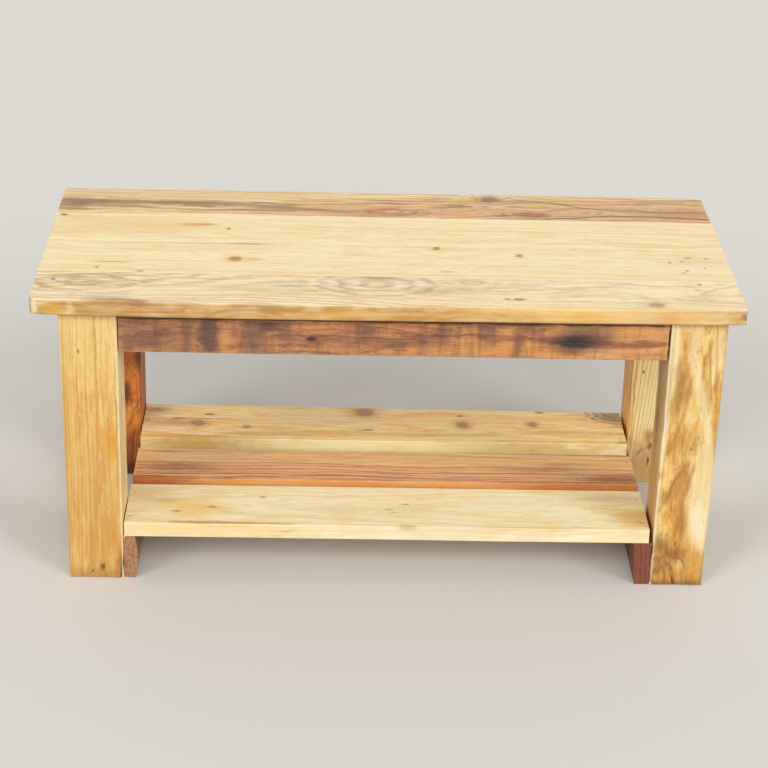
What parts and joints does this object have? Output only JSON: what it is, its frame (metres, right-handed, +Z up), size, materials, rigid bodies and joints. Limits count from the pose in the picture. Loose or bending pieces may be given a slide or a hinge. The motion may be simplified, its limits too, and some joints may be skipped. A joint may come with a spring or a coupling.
{
  "type": "coffee table",
  "caption": "Low rectangular coffee table of reclaimed softwood boards on square posts, with a slatted lower shelf on side bearers.",
  "frame": {"origin": "on the floor under the middle of the top", "axes": "+X along the table to its right as seen from the front, +Y from front to back, +Z up"},
  "size_m": [1, 0.45, 0.45],
  "materials": {
    "pale_pine_front_top": "pale planed pine with grey-beige grain, clear satin wax",
    "warm_pine_top": "warm planed pine with small knots, clear satin wax",
    "heartwood_rear_top": "brown heartwood bands with a pale sapwood edge, clear satin wax",
    "golden_post": "golden pine post with upright stripes, worn arrises",
    "mottled_post": "mottled honey and cream pine post, checks at the foot",
    "red_swirl_post": "red-brown pine post with swirling figure round a knot",
    "striped_post": "pine post with tight upright stripes and a knot",
    "weathered_apron": "weathered red-brown board with grey bands and black knots",
    "plain_pine": "plain reclaimed pine, satin wax",
    "cream_shelf": "cream pine board, faint grain",
    "striped_brown_shelf": "tan pine board with red-brown stripes and an orange edge",
    "honey_shelf": "honey pine board with knots and a pale yellow edge",
    "red_brown_bearer": "red-brown sawn board, rough faces",
    "dowel_wood": "turned hardwood dowel",
    "zinc_steel": "zinc-plated steel screws",
    "dark_nail": "dull dark steel nails"
  },
  "bodies": {
    "root": {"top_board_front": "pale_pine_front_top", "top_board_front_middle": "warm_pine_top", "top_board_rear_middle": "warm_pine_top", "top_board_rear": "heartwood_rear_top", "leg_front_left": "golden_post", "leg_front_right": "mottled_post", "leg_rear_left": "red_swirl_post", "leg_rear_right": "striped_post", "apron_front": "weathered_apron", "apron_rear": "plain_pine", "apron_left": "plain_pine", "apron_right": "plain_pine", "apron_dowels": "dowel_wood", "top_bearer_left": "plain_pine", "top_bearer_right": "plain_pine", "top_batten": "plain_pine", "top_screws": "zinc_steel", "top_bearer_screws": "zinc_steel", "shelf_board_front": "cream_shelf", "shelf_board_middle": "striped_brown_shelf", "shelf_board_rear": "honey_shelf", "shelf_bearer_left": "red_brown_bearer", "shelf_bearer_right": "red_brown_bearer", "shelf_bearer_screws": "zinc_steel", "shelf_nails": "dark_nail"}
  },
  "joints": []
}
